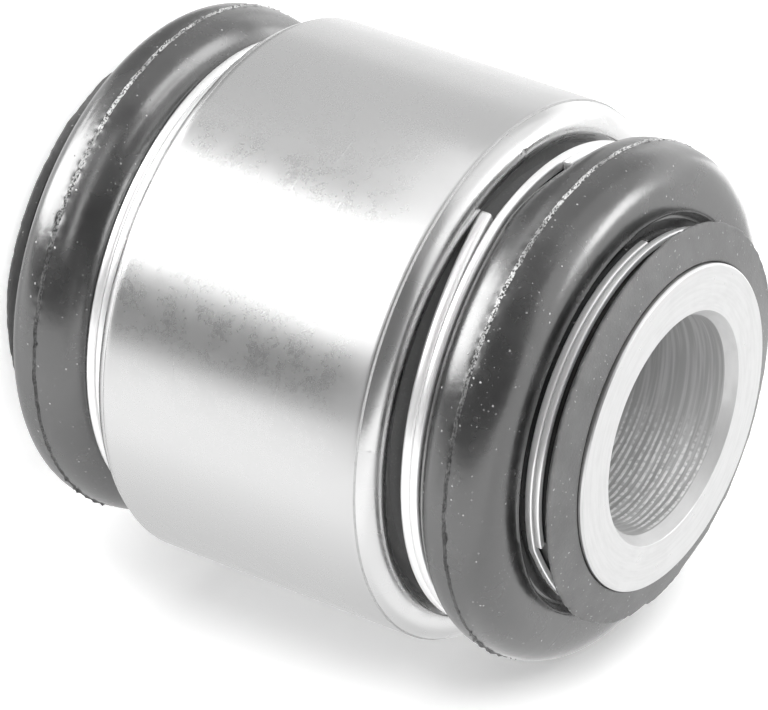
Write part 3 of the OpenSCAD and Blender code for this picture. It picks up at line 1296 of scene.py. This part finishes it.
@dataclass(frozen=True)
class LowCard(Card):
    """A level panel that only lights what lies under it.

    Its heights are its inner and outer radius in millimetres, and its distance is not used.
    """

    def points(self, azimuth: np.ndarray, height: np.ndarray) -> np.ndarray:
        """Places on the panel.

        Args:
            azimuth: Their azimuths in degrees.
            height: Their distances from the axis.

        Returns:
            The places, in millimetres.
        """
        turn, level = np.radians(azimuth), np.full_like(height, self.middle)
        return np.stack([height * np.cos(turn), height * np.sin(turn), level], -1)

    def shader(self, nodes: Nodes) -> Node:
        """A plain light on the underside, clear from above.

        Args:
            nodes: Nodes of the material.

        Returns:
            The shader.
        """
        normal = nodes.add("NewGeometry").outputs["Normal"]
        upward = nodes.add("SeparateXYZ", {0: normal}).outputs["Z"]
        from_above = nodes.chain("GREATER_THAN", upward, 0.0)
        clear = nodes.add("BsdfTransparent")
        return nodes.add("MixShader", {0: from_above, 1: super().shader(nodes), 2: clear})


CARDS = (
    Card("softbox", (217, 284), (-88, -50), 8.0, 560),
    Card("softbox_edge", (229, 279), (-50, -33), 8.0, 560),
    Card("softbox_foot", (180, 217), (-88, -64), 5.0, 570),
    Card("wall_left", (150, 217), (-34, 14), 0.9, 610),
    Card("wall_low", (120, 206), (-62, -34), 0.5, 620),
    Card("room_front", (240, 313), (-34, 85), 0.22, 600),
    Card("room_right", (284, 313), (-78, -34), 0.32, 605),
    Card("room_left", (216, 240), (-34, 46), 0.5, 605),
    Card("room_high", (225, 240), (46, 80), 0.8, 590),
    Card("ceiling", (165, 225), (46, 80), 1.5, 595),
    Card("wall_high", (160, 216), (14, 46), 1.2, 600),
    Card("back_light", (104, 148), (41, 65), 7.0, 560),
    Card("back_light_tail", (148, 180), (48, 62), 2.2, 560),
    Card("backdrop", (93, 148), (-20, 40), 1.7, 615),
    Card("rear_strip", (238, 283), (-9.5, -3.5), 3.0, 75, -14.5),
    Card("rim_glow", (204, 240), (-7.5, -1.5), 2.3, 40.5),
    Card("rim_glow_low", (290, 318), (-5.0, -1.5), 1.0, 40.5),
    LowCard("rear_band", (168, 222), (48, 256), 4.3, middle=6.0),
    LowCard("rear_band_end", (128, 150), (57, 165), 3.5, middle=6.0),
)


@dataclass(frozen=True)
class Lamp:
    """A soft lamp for the rubber and the shadows, which reflections leave to the panels."""

    name: str
    azimuth: float
    height: float  # angle above the horizon in degrees
    distance: float
    size: float
    watts: float

    def build(self) -> None:
        """Place the lamp so that it faces the object."""
        data = bpy.data.lights.new(self.name, "AREA")
        data.shape, data.size, data.energy = "DISK", self.size * MM, self.watts
        lamp = bpy.data.objects.new(self.name, data)
        turn, rise = math.radians(self.azimuth), math.radians(self.height)
        away = Vector((math.cos(rise) * math.cos(turn), math.cos(rise) * math.sin(turn), math.sin(rise)))
        lamp.location = away * self.distance * MM
        lamp.rotation_mode = "QUATERNION"
        lamp.rotation_quaternion = away.to_track_quat("Z", "Y")
        lamp.visible_camera = lamp.visible_glossy = False
        bpy.context.scene.collection.objects.link(lamp)


LAMPS = (
    Lamp("key", 230, 28, 420, 320, 1.75),
    Lamp("fill", 310, 35, 450, 300, 0.8),
    Lamp("back", 110, 50, 450, 300, 1.0),
)


@dataclass
class Studio:
    """Floor, table, lamps, panels and camera."""

    table_azimuth: float = 37.06  # direction in which the table lies beside the housing
    table_distance: float = 17.52  # from the axis
    table_half: float = 500.0  # half its side
    floor_height: float = -21.02
    floor_half: float = 900.0
    floor_glow: float = 0.5
    soft_light: float = 0.5  # of the world on the object
    white_light: float = 1.15  # of the world in the camera and in reflections
    view_elevation: float = 28.21
    view_roll: float = 109.637
    view_distance: float = 383.05
    view_target: tuple[float, float, float] = (1.718, 0.171, 0.309)  # in the middle of the picture
    view_focal_px: float = 6133.78
    sensor: float = 36.0

    def camera(self) -> None:
        """Set the camera where the photograph was taken from."""
        rise, roll = math.radians(self.view_elevation), math.radians(self.view_roll)
        forward = Vector((0, math.cos(rise), -math.sin(rise)))
        upright = Vector((0, math.sin(rise), math.cos(rise)))
        right = math.cos(roll) * Vector((1, 0, 0)) + math.sin(roll) * upright
        turned = Matrix((right, right.cross(forward), -forward)).transposed().to_4x4()
        data = bpy.data.cameras.new("camera")
        data.sensor_width = self.sensor
        data.lens = self.sensor * self.view_focal_px / IMAGE_WIDTH_PX
        data.clip_start, data.clip_end = 0.01, 10
        camera = bpy.data.objects.new("camera", data)
        place = Vector(self.view_target) - forward * self.view_distance
        camera.matrix_world = Matrix.Translation(place * MM) @ turned
        bpy.context.scene.collection.objects.link(camera)
        bpy.context.scene.camera = camera

    def world(self) -> None:
        """White for the camera and in reflections, and plain soft light for all else."""
        world = bpy.data.worlds.new("white_studio")
        bpy.context.scene.world = world
        nodes = Nodes(world)
        path = nodes.add("LightPath").outputs
        rays = (path[f"Is {kind} Ray"] for kind in ("Camera", "Glossy", "Transmission"))
        seen = nodes.chain("MAXIMUM", *rays)
        level = nodes.add("MapRange", span(seen, 0.0, 1.0, self.soft_light, self.white_light))
        light = nodes.add("Background", {"Color": WHITE, "Strength": level})
        nodes.add("OutputWorld", {"Surface": light})
        world.cycles.sampling_method = "NONE"

    def paper(self, nodes: Nodes, glow: Source) -> Node:
        """White paper that the camera sees overexposed, so that only a shadow shows on it.

        Args:
            nodes: Nodes of the material.
            glow: Light that the camera sees on top of the lamps' light.

        Returns:
            The shader.
        """
        level = nodes.chain("MULTIPLY", nodes.add("LightPath").outputs["Is Camera Ray"], glow)
        light = nodes.add("Emission", {"Color": WHITE, "Strength": level})
        sheet = nodes.add("BsdfDiffuse", {"Color": PAPER_WHITE})
        return nodes.add("AddShader", {0: sheet, 1: light})

    def floor_shader(self, nodes: Nodes) -> Node:
        """White floor."""
        return self.paper(nodes, self.floor_glow)

    def table_shader(self, nodes: Nodes) -> Node:
        """White table: clear from behind, and in reflections darker where the object shades it.

        Args:
            nodes: Nodes of the material.

        Returns:
            The shader.
        """
        where = nodes.add("NewGeometry").outputs
        place = nodes.add("VectorMath", {0: where["Position"], "Scale": 1 / MM}, operation="SCALE")
        turn = math.radians(self.table_azimuth - 90)
        along = (math.cos(turn), math.sin(turn), 0)
        aside = nodes.add("VectorMath", {0: place, 1: along}, operation="DOT_PRODUCT").outputs["Value"]
        height = nodes.add("SeparateXYZ", {0: place}).outputs["Z"]
        near = nodes.add("MapRange", span(aside, 10, 34, 0.88, 1.52))
        far = nodes.add("MapRange", span(aside, 125, 260, 1.0, 0.3))
        behind = nodes.add("MapRange", span(aside, -20, -5, 1.3, 0.0))
        ahead = nodes.add("MapRange", span(height, 6, 13, 0.0, 1.27))
        lit = ((height, -14, -6, 0.0, 2.6), (height, 17, 25, 1.0, 0.0), (aside, -32, -18, 1.0, 0.0))
        glare = nodes.chain("MULTIPLY", *(nodes.add("MapRange", span(*limits)) for limits in lit))
        level = nodes.chain("MULTIPLY", nodes.chain("MAXIMUM", near, behind, glare, ahead), far)
        shine = nodes.add("Emission", {"Color": WHITE, "Strength": level})
        glow = nodes.chain("ADD", nodes.add("MapRange", span(height, -22, -8, 0.7, 0.0)), 0.25)
        glossy = nodes.add("LightPath").outputs["Is Glossy Ray"]
        front = nodes.add("MixShader", {0: glossy, 1: self.paper(nodes, glow), 2: shine})
        clear = nodes.add("BsdfTransparent")
        return nodes.add("MixShader", {0: where["Backfacing"], 1: front, 2: clear})

    def plane(self, name: str, centre: Vector, normal: Vector, half: float, material: Material) -> Object:
        """Make a square stage plane.

        Args:
            name: Its name.
            centre: Its middle.
            normal: Direction that it faces.
            half: Half its side.
            material: Its material.

        Returns:
            The plane.
        """
        side = normal.orthogonal().normalized()
        other = normal.cross(side)
        corners = [(-1, -1), (1, -1), (1, 1), (-1, 1)]
        points = np.array([centre + (side * a + other * b) * half for a, b in corners])
        piece = make_mesh(name, points, [(0, 1, 2, 3)])
        piece.data.materials.append(material)
        piece.visible_shadow = False
        return piece

    def surfaces(self) -> None:
        """Floor under the rear end, and the table that the housing lies against in the photograph."""
        paper = make_material("white_floor", self.floor_shader)
        middle, up = Vector((0, 0, self.floor_height)), Vector((0, 0, 1))
        floor = self.plane("floor", middle, up, self.floor_half, paper)
        floor.visible_glossy = False
        turn = math.radians(self.table_azimuth)
        down = Vector((math.cos(turn), math.sin(turn), 0))
        top = make_material("white_table", self.table_shader)
        self.plane("table", down * self.table_distance, -down, self.table_half, top)

    def build(self) -> None:
        """Set up the whole studio."""
        bpy.context.scene.view_settings.view_transform = "Standard"
        self.camera()
        self.world()
        self.surfaces()
        for fitting in (*LAMPS, *CARDS):
            fitting.build()


def main() -> None:
    """Build the bushing and its studio."""
    logging.basicConfig(level=logging.INFO, format="%(name)s: %(message)s")
    Bushing().build()
    Studio().build()


if __name__ == "__main__":
    main()
